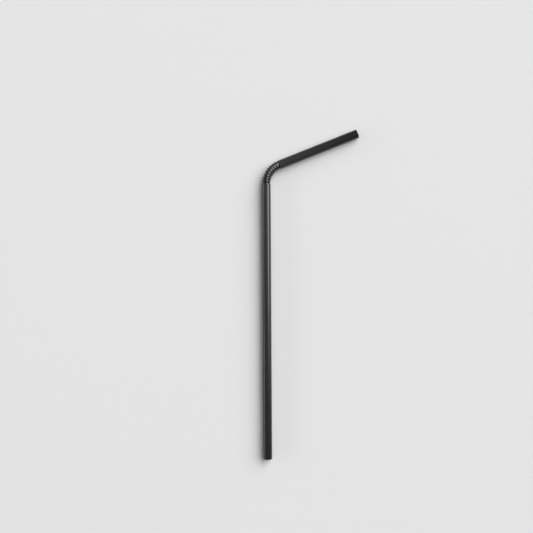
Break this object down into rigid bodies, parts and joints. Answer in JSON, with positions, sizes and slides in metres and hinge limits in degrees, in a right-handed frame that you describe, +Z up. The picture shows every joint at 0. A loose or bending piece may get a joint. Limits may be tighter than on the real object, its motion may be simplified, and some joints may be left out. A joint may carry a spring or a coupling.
{
  "type": "flexible drinking straw",
  "caption": "Black plastic drinking straw with a long leg, a pleated bend and a mouthpiece turned about 70 degrees, lying on its side.",
  "frame": {"origin": "the middle of the straw's bounding box, on the surface that it lies on", "axes": "+Z up, +Y along the long leg towards the pleats, +X the way that the mouthpiece turns"},
  "size_m": [0.0546, 0.184, 0.005],
  "materials": {
    "straw_plastic": "glossy extruded black polypropylene"
  },
  "bodies": {
    "root": {"straw": "straw_plastic"}
  },
  "joints": []
}
